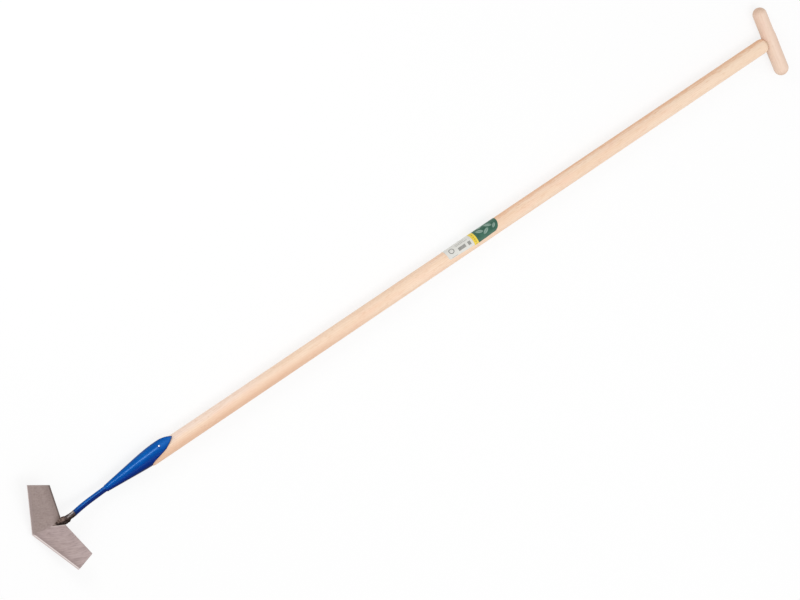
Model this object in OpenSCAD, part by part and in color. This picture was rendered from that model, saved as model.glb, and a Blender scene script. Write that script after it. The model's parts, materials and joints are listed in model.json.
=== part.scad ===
// Long-handled hoe with a folded V blade, a rolled socket and a crossbar grip.
// X runs along the handle from the blade to the crossbar, Y along the crossbar, Z up.
// The origin is on the handle's axis, level with the tip of the socket's tongue.

/* [Handle] */
// Diameter of the round wooden handle
handle_d = 28; // [25:0.5:32]
// Bare handle from the tip of the socket's tongue to the shoulder at the crossbar
handle_reach = 1338.4; // [900:0.1:1700]
// Length of the rounded shoulder at the crossbar
shoulder_len = 10; // [4:0.5:16]
// Depth that the shoulder is rounded off to
shoulder_drop = 4.5; // [1:0.1:5]
// Diameter of the tenon that goes into the crossbar
tenon_d = 18; // [14:0.5:20]
// Clearance round the wood in the socket and in the crossbar
wood_fit = 0.15; // [0.05:0.05:0.3]

/* [Crossbar] */
// Length over the rounded ends
bar_len = 141; // [110:1:180]
// Distance of the bar's middle from the handle's axis, towards -Y
bar_shift = 1.9; // [0:0.1:4]
// Diameter of the bar where the handle meets it
bar_d = 28.4; // [28.1:0.1:34]
// Diameter of the grip arm towards -Y
bar_arm_d = 28; // [24:0.1:28]
// Diameter of the thinner grip arm towards +Y
bar_thin_d = 26.8; // [24:0.1:28]
// Length of the slope from the middle to each arm
bar_slope_len = 9; // [4:0.5:12]
// Wood left between the tenon and the outer side
bar_wall = 6; // [4:0.5:9]
// Diameter of the brad that locks the tenon
brad_d = 2.5; // [1.8:0.1:3]
// Diameter of the brad's head
brad_head_d = 4; // [3.4:0.1:5]
// Height of the brad's head
brad_head_h = 1; // [0.6:0.1:1.5]
// Length of the brad under its head
brad_len = 22; // [18:0.5:24]
// Depth of the brad's head below the wood
brad_sink = 0.6; // [0.3:0.1:1.5]

/* [Socket] */
// Length of the straight cone at the neck
cone_len = 62; // [50:1:80]
// Length from the cone to the widest place
swell_len = 49; // [40:1:65]
// Length from the widest place to the tip of the tongue
nose_len = 23.5; // [15:0.5:35]
// Thickness of the sheet
sheet_t = 1.4; // [1:0.1:2.2]
// Space between the sheet and a handle in line with it, at the widest place
swell_space = 0.6; // [0.2:0.1:1.5]
// Angle between the socket's axis and the handle
socket_lean = 1.95; // [0:0.05:2.5]
// Direction that the socket leans to, from +Z towards +Y
lean_turn = 114; // [90:1:130]
// Length of the open tongue in front of the closed collar
tongue_len = 52; // [45:1:60]
// Length of the tongue's pointed arch
leaf_len = 39; // [30:1:44]
// Width of the tongue
leaf_w = 28.8; // [22:0.2:30]
// Direction that the tongue faces, from +Z towards +Y
tongue_turn = 48; // [30:1:60]
// Width of the open seam opposite the tongue
seam_gap = 4; // [2:0.5:6]
// Length of the closed cone before the seam begins
seam_start = 20; // [16:1:40]

/* [Socket nail] */
// Distance of the nail from the tip of the tongue
nail_back = 28; // [18:0.5:32]
// Direction that the nail faces, from +Z towards +Y
nail_turn = 42; // [35:1:55]
// Diameter of the nail
nail_d = 2.8; // [2:0.1:3.5]
// Diameter of the nail's head
nail_head_d = 5; // [4.2:0.1:6.5]
// Height of the nail's domed head
nail_head_h = 1.6; // [1:0.1:2]
// Length of the nail under its head
nail_len = 22; // [18:0.5:26]
// Clearance round the nail and the brad
nail_fit = 0.05; // [0.02:0.01:0.1]

/* [Neck] */
// Diameter of the round neck
neck_d = 10; // [8.5:0.5:12]
// Clearance round the neck in the socket
neck_fit = 0.05; // [0.02:0.01:0.15]
// Length of the neck inside the socket
neck_insert = 6; // [4:0.5:10]
// Space in the socket between the neck and the wood
hollow_len = 16; // [8:0.5:24]
// Straight neck in front of the socket, which the weld bead covers
neck_lead = 5; // [3:0.5:8]
// First bend upwards
bend_1 = 6.5; // [3:0.5:12]
// Radius of the first bend
bend_1_r = 60; // [40:1:100]
// Straight neck after the first bend
run_1 = 25.5; // [15:0.5:45]
// Second bend upwards
bend_2 = 13; // [8:0.5:20]
// Radius of the second bend
bend_2_r = 120; // [80:1:150]
// Straight neck after the second bend
run_2 = 7; // [3:0.5:15]
// Radius of the last bend, down into the plane of the blade
bend_3_r = 25; // [18:0.5:35]
// Length of the neck's pointed end
point_len = 15; // [10:0.5:18]
// Diameter at the tip of the pointed end
point_d = 3; // [2:0.5:5]

/* [Blade] */
// Length of each front cutting edge
blade_front = 96.6; // [70:0.1:130]
// Angle that each front edge is swept back
blade_sweep = 23.5; // [15:0.1:32]
// Length of each cut end
blade_end = 36.7; // [30:0.1:45]
// Angle of the cut end off the square, on the wing towards +Y
end_skew = 7; // [0:0.5:10]
// Angle of the cut end off the square, on the wing towards -Y
low_end_skew = 1; // [0:0.5:10]
// Length of the fold from the apex to the back of the blade
blade_root = 54.4; // [46:0.1:64]
// Thickness of the plate
blade_t = 3; // [2:0.1:4]
// Angle that each wing rises from the fold
wing_rise = 7.2; // [1:0.1:10]
// Angle that the fold rises from the apex towards the handle
fold_tilt = 20.7; // [10:0.1:25]
// Width of the ground bevel along the front edges
bevel_w = 5; // [3:0.5:9]
// Thickness left at the cutting edge
edge_t = 0.8; // [0.4:0.1:1.5]
// Depth of the notch at the back of the fold
notch_len = 18.4; // [14:0.1:26]
// Opening angle of the notch
notch_angle = 40.8; // [34:0.2:46]
// Distance along the fold from the apex to the point of the neck
point_ahead = 47; // [43:0.5:52]
// Depth of the neck's axis below the upper side of the blade
neck_seat = 2.5; // [1.5:0.1:4]
// Height of the weld over the neck where it enters the notch
weld_swell = 1.2; // [0.6:0.1:2]
// Length of the weld beyond the point of the neck
weld_ahead = 9; // [5:0.5:12]

/* [Labels] */
// Start of the white label from the tip of the tongue
label_start = 580.5; // [300:0.5:900]
// Length of the white label
white_len = 55.5; // [30:0.5:80]
// Length of the green label with its yellow band
green_len = 59.5; // [30:0.5:90]
// Width of the labels round the handle
label_w = 42; // [25:0.5:60]
// Thickness of the labels
label_t = 0.2; // [0.1:0.05:0.4]
// Clearance between the labels and the handle
label_fit = 0.05; // [0.02:0.01:0.1]
// Gap between the two labels
label_gap = 0.2; // [0.1:0.1:3]
// Direction of the green label's lower edge, from +Z towards +Y
green_edge = -11; // [-40:1:40]
// Direction of the white label's lower edge, from +Z towards +Y
white_edge = -5; // [-40:1:40]

/* [Hidden] */
$fn = 96;

wood = "#ebcfb5";
blue = "#0a3f9e";
steel = "#b9a9a5";
burnt = "#4a3a34";
profile_steps = 14;
dome_steps = 8;
neck_sides = 32;
bend_step = 3;
// Overlap of cutting solids past the faces that they cut
past = 1;
reach = 60;

handle_r = handle_d / 2;
bar_x = handle_reach + bar_d / 2;
tenon_len = bar_d - bar_wall;
socket_len = cone_len + swell_len + nose_len;
collar_len = socket_len - tongue_len;
plug_start = neck_insert + hollow_len;
wood_start = plug_start - socket_len;

// Socket profile: a straight cone that runs into an arc, level at the widest place
small_r = neck_d / 2 + neck_fit + sheet_t;
wide_r = handle_r + sheet_t + swell_space;
swell_at = cone_len + swell_len;
first_half_tan = (wide_r - small_r) / (2 * cone_len + swell_len);
half_tan = (wide_r - small_r) / (2 * cone_len / (1 - pow(first_half_tan, 2)) + swell_len);
cone_angle = 2 * atan(half_tan);
swell_r = swell_len / sin(cone_angle);
leaf_r = (pow(leaf_len, 2) + pow(leaf_w / 2, 2)) / leaf_w;

function socket_r(t) =
    t < cone_len
        ? small_r + t * tan(cone_angle)
        : wide_r - swell_r + sqrt(pow(swell_r, 2) - pow(t - swell_at, 2));

// Places along the neck, with headings measured from -X towards +Z
function forward(p, heading, run) = p + run * [-cos(heading), sin(heading)];
function upward(heading) = [sin(heading), cos(heading)];
function bent(p, heading, r, turn) =
    p + sign(turn) * r * (upward(heading) - upward(heading + turn));

heading_1 = bend_1;
heading_2 = bend_1 + bend_2;
bend_3 = -heading_2 - fold_tilt;
joint = [-socket_len, 0];
bend_1_at = forward(joint, 0, neck_lead);
run_1_at = bent(bend_1_at, 0, bend_1_r, bend_1);
bend_2_at = forward(run_1_at, heading_1, run_1);
run_2_at = bent(bend_2_at, heading_1, bend_2_r, bend_2);
bend_3_at = forward(run_2_at, heading_2, run_2);
point_at = bent(bend_3_at, heading_2, bend_3_r, bend_3);

// Rings along the neck: place, heading and diameter
function bend_stations(p, heading, r, turn) =
    let (steps = ceil(abs(turn) / bend_step))
        [for (i = [0:steps]) [bent(p, heading, r, turn * i / steps), heading + turn * i / steps, neck_d]];
neck_stations = concat(
    [[forward(joint, 0, -neck_insert), 0, neck_d]],
    bend_stations(bend_1_at, 0, bend_1_r, bend_1),
    bend_stations(bend_2_at, heading_1, bend_2_r, bend_2),
    bend_stations(bend_3_at, heading_2, bend_3_r, bend_3),
    [[forward(point_at, -fold_tilt, point_len), -fold_tilt, point_d]]
);

// Corners of one wing in its own plane, with the fold along X and the apex at the origin
front_corner = blade_front * [sin(blade_sweep), cos(blade_sweep)];
function rear_corner(skew) =
    front_corner + blade_end * [cos(blade_sweep + skew), -sin(blade_sweep + skew)];
fold_lap = 2 * blade_t * tan(wing_rise);
bevel_drop = blade_t - edge_t;

module along_x() {
    rotate([0, 90, 0]) children();
}

// Turns +Z towards +Y about the handle's axis
module facing(turn) {
    rotate([-turn, 0, 0]) children();
}

// The socket's own axis: X from the neck joint to the tip, leaning off the handle
module socket_frame() {
    translate([-socket_len, 0, 0])
        facing(lean_turn) rotate([0, -socket_lean, 0]) facing(-lean_turn) children();
}

module socket_wall(inner_step, outer_step) {
    steps = concat(
        [-past],
        [for (i = [0:profile_steps]) cone_len + (socket_len + past - cone_len) * i / profile_steps]
    );
    along_x() rotate_extrude()
        polygon(concat(
            [for (t = steps) [socket_r(t) + inner_step, t]],
            [for (i = [len(steps) - 1:-1:0]) [socket_r(steps[i]) + outer_step, steps[i]]]
        ));
}

// Where the sheet is left standing: the collar all round, and the tongue with its pointed arch
module socket_outline(start, grow) {
    arch_at = socket_len - leaf_len;
    translate([start, -reach / 2, -reach / 2]) cube([collar_len + grow - start, reach, reach]);
    facing(tongue_turn) {
        translate([start, -leaf_w / 2 - grow, 0]) cube([arch_at - start, leaf_w + 2 * grow, reach]);
        intersection() {
            arch_side(arch_at, leaf_r - leaf_w / 2, grow);
            arch_side(arch_at, leaf_w / 2 - leaf_r, grow);
        }
    }
}

module arch_side(at, centre, grow) {
    translate([at, centre, 0]) cylinder(r = leaf_r + grow, h = reach);
}

// Nail standing on the tongue, with its axis pointing out of the socket
module nail_frame() {
    socket_frame() translate([socket_len - nail_back, 0, 0]) facing(nail_turn)
        translate([0, 0, socket_r(socket_len - nail_back)]) children();
}

module brad_frame() {
    translate([bar_x, 0, -bar_d / 2 + brad_sink]) children();
}

module neck_solid() {
    rings = len(neck_stations);
    points = [
        for (s = neck_stations, k = [0:neck_sides - 1])
            let (a = 360 * k / neck_sides, r = s[2] / 2, up = r * cos(a) * upward(s[1]))
                [s[0][0] + up[0], r * sin(a), s[0][1] + up[1]]
    ];
    walls = [
        for (i = [0:rings - 2], k = [0:neck_sides - 1])
            let (a = i * neck_sides + k, b = i * neck_sides + (k + 1) % neck_sides)
                each [[a, a + neck_sides, b], [b, a + neck_sides, b + neck_sides]]
    ];
    start_cap = [for (k = [0:neck_sides - 1]) k];
    point_cap = [for (k = [neck_sides - 1:-1:0]) (rings - 1) * neck_sides + k];
    polyhedron(points, concat(walls, [start_cap, point_cap]));
}

// The pointed end alone, which the weld is cut to
module neck_point() {
    translate([point_at[0], 0, point_at[1]]) rotate([0, -fold_tilt - 90, 0])
        cylinder(d1 = neck_d, d2 = point_d, h = point_len);
}

// The blade's own axes, set from the end of the neck: fold along X, upper side at zero
module blade_frame() {
    translate([point_at[0], 0, point_at[1]]) rotate([0, -fold_tilt, 0])
        translate([-point_len - point_ahead, 0, neck_seat]) children();
}

module front_bevel() {
    slope = bevel_drop / bevel_w;
    rotate([0, 0, -blade_sweep]) translate([0, blade_front + reach, 0]) rotate([90, 0, 0])
        linear_extrude(blade_front + 2 * reach)
            polygon([
                [-past, -bevel_drop - past * slope],
                [bevel_w + past, past * slope],
                [-past, past * slope]
            ]);
}

module wing(skew) {
    rotate([wing_rise, 0, 0]) difference() {
        translate([0, 0, -blade_t]) linear_extrude(blade_t)
            polygon([
                [0, -fold_lap],
                [0, 0],
                front_corner,
                rear_corner(skew),
                [blade_root, 0],
                [blade_root, -fold_lap]
            ]);
        front_bevel();
    }
}

module blade_solid() {
    difference() {
        union() {
            wing(end_skew);
            mirror([0, 1, 0]) wing(low_end_skew);
        }
        translate([blade_root - notch_len, 0, -reach / 2]) linear_extrude(reach)
            polygon([
                [0, 0],
                [reach, reach * tan(notch_angle / 2)],
                [reach, -reach * tan(notch_angle / 2)]
            ]);
    }
}

module blade() {
    color(steel) blade_frame() blade_solid();
}

// A bead that swells over the neck where it enters the notch and runs out ahead of its point
module blade_weld() {
    neck_r = neck_d / 2;
    color(burnt) difference() {
        translate([point_at[0], 0, point_at[1]]) rotate([0, -fold_tilt - 90, 0]) rotate_extrude()
            polygon([
                [0, 0],
                [neck_r + weld_swell / 2, 0],
                [neck_r + weld_swell, point_len / 3],
                [neck_r + weld_swell / 3, point_len * 2 / 3],
                [neck_seat, point_len + weld_ahead / 4],
                [neck_seat / 3, point_len + weld_ahead],
                [0, point_len + weld_ahead]
            ]);
        neck_point();
        blade_frame() blade_solid();
    }
}

module neck() {
    color(blue) neck_solid();
}

// Ring of weld in the step between the neck and the socket's small end
module socket_weld() {
    color(blue) translate([-socket_len - neck_lead, 0, 0]) along_x() difference() {
        cylinder(d1 = neck_d + sheet_t / 2, r2 = small_r, h = neck_lead);
        translate([0, 0, -past]) cylinder(d = neck_d, h = neck_lead + 2 * past);
    }
}

module socket() {
    color(blue) socket_frame() difference() {
        intersection() {
            socket_wall(-sheet_t, 0);
            socket_outline(0, 0);
        }
        facing(tongue_turn + 180) translate([seam_start, -seam_gap / 2, 0])
            cube([collar_len - seam_start + past, seam_gap, reach]);
        translate([socket_len - nail_back, 0, 0]) facing(nail_turn)
            cylinder(d = nail_d + 2 * nail_fit, h = reach);
    }
}

module socket_nail() {
    dome_r = (pow(nail_head_d / 2, 2) + pow(nail_head_h, 2)) / (2 * nail_head_h);
    color(blue) nail_frame() {
        translate([0, 0, -nail_len]) cylinder(d = nail_d, h = nail_len);
        intersection() {
            cylinder(d = nail_head_d, h = nail_head_h);
            translate([0, 0, nail_head_h - dome_r]) sphere(r = dome_r);
        }
    }
}

module handle() {
    shoulder = [
        for (i = [0:dome_steps])
            let (a = 90 * i / dome_steps)
                [handle_r - shoulder_drop * (1 - cos(a)), handle_reach - shoulder_len * (1 - sin(a))]
    ];
    color(wood) difference() {
        union() {
            along_x() rotate_extrude()
                polygon(concat([[0, wood_start], [handle_r, wood_start]], shoulder, [[0, handle_reach]]));
            translate([handle_reach, 0, 0]) along_x() cylinder(d = tenon_d, h = tenon_len - wood_fit);
        }
        socket_frame() intersection() {
            socket_wall(-sheet_t - wood_fit, reach / 2);
            socket_outline(-past, wood_fit);
        }
        nail_frame() translate([0, 0, -nail_len - nail_fit])
            cylinder(d = nail_d + 2 * nail_fit, h = reach);
        brad_frame() cylinder(d = brad_d + 2 * nail_fit, h = brad_head_h + brad_len + nail_fit);
    }
}

// One rounded end of the crossbar, from its side to its tip
function bar_end(r, end) =
    [for (i = [0:dome_steps]) let (a = 90 * i / dome_steps) [r * cos(a), end - r + r * sin(a)]];

module crossbar() {
    arm = bar_end(bar_arm_d / 2, bar_len / 2 + bar_shift);
    thin_arm = bar_end(bar_thin_d / 2, bar_len / 2 - bar_shift);
    slope_at = tenon_d / 2;
    color(wood) difference() {
        translate([bar_x, 0, 0]) rotate([90, 0, 0]) rotate_extrude()
            polygon(concat(
                [for (i = [dome_steps:-1:0]) [thin_arm[i][0], -thin_arm[i][1]]],
                [[bar_thin_d / 2, -slope_at - bar_slope_len], [bar_d / 2, -slope_at]],
                [[bar_d / 2, slope_at], [bar_arm_d / 2, slope_at + bar_slope_len]],
                arm
            ));
        translate([handle_reach - past, 0, 0]) along_x()
            cylinder(d = tenon_d + 2 * wood_fit, h = tenon_len + past);
        brad_frame() translate([0, 0, -past])
            cylinder(d = brad_head_d + 2 * nail_fit, h = brad_head_h + past);
        brad_frame() cylinder(d = brad_d + 2 * nail_fit, h = brad_head_h + brad_len + nail_fit);
    }
}

module crossbar_brad() {
    color(steel) brad_frame() {
        cylinder(d = brad_head_d, h = brad_head_h);
        cylinder(d = brad_d, h = brad_head_h + brad_len);
    }
}

// A thin strip round the handle, from its lower edge over the top
module label(start, length, edge) {
    span = label_w / handle_r * 180 / PI;
    translate([start, 0, 0]) facing(edge + span) along_x() rotate([0, 0, 180])
        rotate_extrude(angle = span) translate([handle_r + label_fit, 0]) square([label_t, length]);
}

module label_white() {
    color("white") label(label_start, white_len, white_edge);
}

module label_green() {
    color("#1f6b45") label(label_start + white_len + label_gap, green_len, green_edge);
}

blade();
blade_weld();
neck();
socket_weld();
socket();
socket_nail();
handle();
crossbar();
crossbar_brad();
label_white();
label_green();
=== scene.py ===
import json
from math import asin, atan, ceil, cos, degrees, hypot, pi, radians, sin, sqrt, tan

import bmesh
import bpy
from mathutils import Matrix, Vector, noise

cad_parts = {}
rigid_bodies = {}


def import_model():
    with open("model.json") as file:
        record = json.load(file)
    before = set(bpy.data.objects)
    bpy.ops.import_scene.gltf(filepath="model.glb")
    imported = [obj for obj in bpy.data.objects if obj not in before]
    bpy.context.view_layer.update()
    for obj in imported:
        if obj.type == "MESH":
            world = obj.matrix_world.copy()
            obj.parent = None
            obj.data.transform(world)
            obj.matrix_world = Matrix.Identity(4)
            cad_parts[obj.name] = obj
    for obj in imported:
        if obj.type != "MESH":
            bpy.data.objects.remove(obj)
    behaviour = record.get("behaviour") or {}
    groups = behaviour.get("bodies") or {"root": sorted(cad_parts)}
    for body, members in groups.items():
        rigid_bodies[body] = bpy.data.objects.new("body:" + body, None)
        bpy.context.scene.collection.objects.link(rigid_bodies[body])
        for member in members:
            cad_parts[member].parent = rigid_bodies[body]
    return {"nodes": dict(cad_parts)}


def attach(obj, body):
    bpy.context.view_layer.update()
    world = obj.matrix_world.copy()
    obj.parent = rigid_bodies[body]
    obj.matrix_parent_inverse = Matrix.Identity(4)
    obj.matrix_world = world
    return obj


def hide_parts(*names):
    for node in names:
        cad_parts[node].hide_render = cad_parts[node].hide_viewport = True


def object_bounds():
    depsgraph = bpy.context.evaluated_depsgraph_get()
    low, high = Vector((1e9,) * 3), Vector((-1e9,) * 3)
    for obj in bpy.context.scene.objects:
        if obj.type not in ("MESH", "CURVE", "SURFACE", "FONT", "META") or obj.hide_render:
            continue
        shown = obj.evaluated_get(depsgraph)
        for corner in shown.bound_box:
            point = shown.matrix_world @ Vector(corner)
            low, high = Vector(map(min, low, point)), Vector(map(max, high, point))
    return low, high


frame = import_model()
cadLow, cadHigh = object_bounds()
cadNodes = frame["nodes"]
scene = bpy.context.scene
mm = 0.001
mergeDist = 0.001 * mm
print("frame loaded with", len(cadNodes), "nodes")


# An operator, and its reflected form with the wire on the right
def bothWays(operation):
    return (
        lambda wire, other: wire.graph.math(operation, wire, other),
        lambda wire, other: wire.graph.math(operation, other, wire),
    )


# A wire is a node's output that takes part in Python expressions
class Wire:
    __add__, __radd__ = bothWays("ADD")
    __sub__, __rsub__ = bothWays("SUBTRACT")
    __mul__, __rmul__ = bothWays("MULTIPLY")
    __truediv__, __rtruediv__ = bothWays("DIVIDE")
    __pow__, __rpow__ = bothWays("POWER")

    def __init__(self, graph, socket):
        self.graph = graph
        self.socket = socket

    def math(self, operation, *others):
        return self.graph.math(operation, self, *others)


# A graph builds any node tree: a finish, a shape or the studio's light
class Graph:
    def __init__(self, tree):
        self.tree = tree

    def node(self, kind, settings=None, inputs=None, output=0):
        made = self.tree.nodes.new(kind)
        for key, value in (settings or {}).items():
            if key == "stops":
                ramp = made.color_ramp
                while len(ramp.elements) < len(value):
                    ramp.elements.new(0.5)
                for element, (place, colour) in zip(ramp.elements, value):
                    element.position = place
                    element.color = (*colour, 1)
            else:
                setattr(made, key, value)
        for key, value in (inputs or {}).items():
            self.feed(made.inputs[key], value)
        return Wire(self, made.outputs[output]) if len(made.outputs) else None

    def feed(self, socket, value):
        if isinstance(value, Wire):
            self.tree.links.new(value.socket, socket)
        elif isinstance(value, tuple) and socket.type == "RGBA":
            socket.default_value = (*value, 1)
        else:
            socket.default_value = value

    def math(self, operation, *values):
        return self.node("ShaderNodeMath", {"operation": operation}, dict(enumerate(values)))


class Paint(Graph):
    def __init__(self, name):
        self.material = bpy.data.materials.new(name)
        self.material.use_nodes = True
        super().__init__(self.material.node_tree)
        self.place = self.node("ShaderNodeTexCoord", output="Object")

    def split(self, vector):
        first = self.node("ShaderNodeSeparateXYZ", None, {0: vector})
        return [Wire(self, s) for s in first.socket.node.outputs]

    def join(self, x, y, z):
        return self.node("ShaderNodeCombineXYZ", None, {0: x, 1: y, 2: z})

    def mapped(self, vector, **inputs):
        return self.node("ShaderNodeMapping", None, {"Vector": vector, **inputs})

    def noise(self, scale, detail, rough, vector=None):
        inputs = {"Vector": vector or self.place, "Scale": scale, "Detail": detail, "Roughness": rough}
        return self.node("ShaderNodeTexNoise", None, inputs)

    def grain(self, vector, stretch, detail, rough):
        # noise with its own scale along each axis
        return self.noise(1.0, detail, rough, self.mapped(vector, Scale=stretch))

    def ramp(self, value, stops):
        return self.node("ShaderNodeValToRGB", {"stops": stops}, {0: value})

    def step(self, value, start, full, depth=None):
        # from zero at the start to one, or to the depth, where it is full; either may be the higher
        inputs = {"Value": value, "From Min": start, "From Max": full}
        made = self.node("ShaderNodeMapRange", {"interpolation_type": "SMOOTHSTEP"}, inputs)
        return made if depth is None else made * depth

    def within(self, value, low, high, soft):
        return self.step(value, low - soft, low + soft) * self.step(value, high + soft, high - soft)

    def blend(self, factor, first, second):
        settings = {"data_type": "RGBA", "clamp_factor": True}
        return self.node("ShaderNodeMix", settings, {0: factor, 6: first, 7: second}, 2)

    def coat(self, base, look, **values):
        # lays a tone of the look over the base for each value, by the step that follows the tone
        for key, value in values.items():
            tone, *reach = look[key]
            base = self.blend(self.step(value, *reach), base, tone)
        return base

    def finish(self, colour, rough, gloss, height, relief, metal=0.0):
        # relief is the depth of the bump in metres, and its strength
        bump = {"Height": height, "Distance": relief[0], "Strength": relief[1]}
        values = {
            "Base Color": colour, "Roughness": rough, "Specular IOR Level": gloss,
            "Metallic": metal, "Normal": self.node("ShaderNodeBump", None, bump),
        }
        for name, value in values.items():
            self.feed(self.tree.nodes["Principled BSDF"].inputs[name], value)
        return self.material


def tint(red, green, blue):
    # a screen colour, 0 to 255, as the linear value that the shader wants
    parts = [c / 255 for c in (red, green, blue)]
    return tuple(c / 12.92 if c <= 0.04045 else ((c + 0.055) / 1.055) ** 2.4 for c in parts)


# Meshes: points are in millimetres until they reach the mesh
def addObject(name, data):
    obj = bpy.data.objects.new(name, data)
    scene.collection.objects.link(obj)
    return obj


def addPiece(name, points, faces, materials, sharp):
    mesh = bpy.data.meshes.new(name)
    mesh.from_pydata([Vector(p) * mm for p in points], [], faces)
    mesh.validate()
    dress(mesh, *materials)
    outward(mesh)
    soften(mesh, sharp)
    return addObject(name, mesh)


def dress(mesh, *materials):
    mesh.materials.clear()
    for material in materials:
        mesh.materials.append(material)


def outward(mesh):
    shape = bmesh.new()
    shape.from_mesh(mesh)
    bmesh.ops.remove_doubles(shape, verts=shape.verts, dist=mergeDist)
    bmesh.ops.recalc_face_normals(shape, faces=shape.faces)
    shape.to_mesh(mesh)
    shape.free()


def soften(mesh, sharp):
    mesh.shade_smooth()
    mesh.set_sharp_from_angle(angle=radians(sharp))


def settle(obj):
    # the evaluated shape becomes a plain mesh, and the modifiers go
    graph = bpy.context.evaluated_depsgraph_get()
    graph.update()
    mesh = bpy.data.meshes.new_from_object(obj.evaluated_get(graph))
    mesh.name = obj.name
    obj.modifiers.clear()
    obj.data = mesh


def roundEdges(obj, width, segments, angle, harden):
    bevel = obj.modifiers.new("edges", "BEVEL")
    bevel.width = width * mm
    bevel.segments = segments
    bevel.limit_method = "ANGLE"
    bevel.angle_limit = radians(angle)
    bevel.harden_normals = harden
    settle(obj)


def standFor(obj, node):
    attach(obj, "root")
    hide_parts(node)
    print(obj.name, "made:", len(obj.data.polygons), "faces")


def tube(rings, closed=True):
    # faces between neighbouring rings, with a face at each end
    faces, n = [], len(rings[0])
    points = [p for ring in rings for p in ring]
    for i in range(len(rings) - 1):
        for j in range(n):
            a, b = i * n + j, i * n + (j + 1) % n
            faces.append((a, b, b + n, a + n))
    if closed:
        faces.append(tuple(range(n)))
        faces.append(tuple(range(len(points) - n, len(points))))
    return points, faces


def sheetBody(outer, inner):
    # out along the outer wall and back along the inner one, so that each cut edge is a narrow strip
    points, faces = tube([o + i[::-1] for o, i in zip(outer, inner)], closed=False)
    n = len(outer[0])
    for start in (0, len(points) - 2 * n):
        end = start + 2 * n - 1
        for j in range(n - 1):
            faces.append((start + j, start + j + 1, end - 1 - j, end - j))
    return points, faces


def turned(profile, sides, matrix, wobble=0.0, seed=1):
    # a turned shape from pairs of radius and height
    thin, ripple = 0.02, 1.3
    rings = []
    for r, h in profile:
        ring = []
        for a in turns(sides):
            uneven = wander(ripple * cos(a), ripple * sin(a), h / 2, seed)
            rr = max(r, thin) * (1 + wobble * uneven)
            ring.append(matrix @ Vector((rr * cos(a), rr * sin(a), h)))
        rings.append(ring)
    return tube(rings)


def turns(sides):
    return [2 * pi * j / sides for j in range(sides)]


def spread(start, end, step):
    count = max(1, ceil(abs(end - start) / step))
    return [start + (end - start) * i / count for i in range(count + 1)]


def wander(x, y, z, seed):
    return noise.noise(Vector((x + 17.3 * seed, y - 9.1 * seed, z + 4.7 * seed)))


def between(value, low, high):
    share = min(1, max(0, (value - low) / (high - low)))
    return share * share * (3 - 2 * share)


def turnedBy(angle, axis):
    return Matrix.Rotation(radians(angle), 4, axis)


# Socket: one rolled sheet, closed at the neck and open to a pointed tongue
socketShape = {
    "coneLen": 62, "swellLen": 49, "noseLen": 23.5, "smallR": 6.45, "wideR": 16.0, "sheet": 1.4,
    "lean": 1.95, "leanTurn": 114, "tongueTurn": 48, "leafLen": 39, "leafW": 28.8, "tipHalf": 0.3,
    "seamHalf": 2.0, "seamShut": 0.05, "seamFrom": 17, "seamTo": 26, "filletFrom": 50, "filletTo": 57,
    "flank": [(20, 11.3), (26, 12.5), (32, 13.3), (38, 14.0), (44, 14.45), (50, 15.0)],
    "columns": 120, "dent": 0.05, "dentLen": 14, "dentTurns": 1.6, "rim": 0.28,
    "coneStep": 2, "filletTurns": range(6, 91, 4), "leafStep": 1, "tipLen": 6, "tipRows": 12, "tipCrowd": 1.6,
    "noEdge": 99, "rimLean": 0.5, "seed": 3,
}
socketLen = socketShape["coneLen"] + socketShape["swellLen"] + socketShape["noseLen"]
socketFrame = (
    Matrix.Translation((-socketLen, 0, 0)) @ turnedBy(-socketShape["leanTurn"], "X")
    @ turnedBy(-socketShape["lean"], "Y") @ turnedBy(socketShape["leanTurn"], "X")
)


def socketRadius(t):
    s = socketShape
    rise = s["wideR"] - s["smallR"]
    first = rise / (2 * s["coneLen"] + s["swellLen"])
    half = rise / (2 * s["coneLen"] / (1 - first ** 2) + s["swellLen"])
    slope = 2 * atan(half)
    arc = s["swellLen"] / sin(slope)
    if t < s["coneLen"]:
        return s["smallR"] + t * tan(slope)
    return s["wideR"] - arc + sqrt(arc ** 2 - (t - s["coneLen"] - s["swellLen"]) ** 2)


def onSocket(t, turn, r):
    a = radians(turn)
    return socketFrame @ Vector((t, r * sin(a), r * cos(a)))


def tongueHalf(back):
    # half width of the tongue at a distance back from its tip
    s = socketShape
    flank, halfW = s["flank"], s["leafW"] / 2
    if back <= flank[0][0]:
        leafR = (s["leafLen"] ** 2 + halfW ** 2) / s["leafW"]
        return max(s["tipHalf"], sqrt(leafR ** 2 - (s["leafLen"] - back) ** 2) - leafR + halfW)
    for (d0, w0), (d1, w1) in zip(flank, flank[1:]):
        if back <= d1:
            return w0 + (w1 - w0) * (back - d0) / (d1 - d0)
    return flank[-1][1]


def sheetHalfTurn(t):
    # half of the angle that the sheet covers, in degrees
    s = socketShape
    back = socketLen - t
    r = socketRadius(t)
    gap = s["seamShut"] + (s["seamHalf"] - s["seamShut"]) * between(t, s["seamFrom"], s["seamTo"])
    full = 180 - degrees(asin(gap / r))
    if back >= s["filletTo"]:
        return full
    leaf = degrees(asin(min(0.9999, tongueHalf(back) / r)))
    if back <= s["filletFrom"]:
        return leaf
    share = (back - s["filletFrom"]) / (s["filletTo"] - s["filletFrom"])
    return leaf + (full - leaf) * (1 - sqrt(max(0, 1 - share ** 2)))


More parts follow.
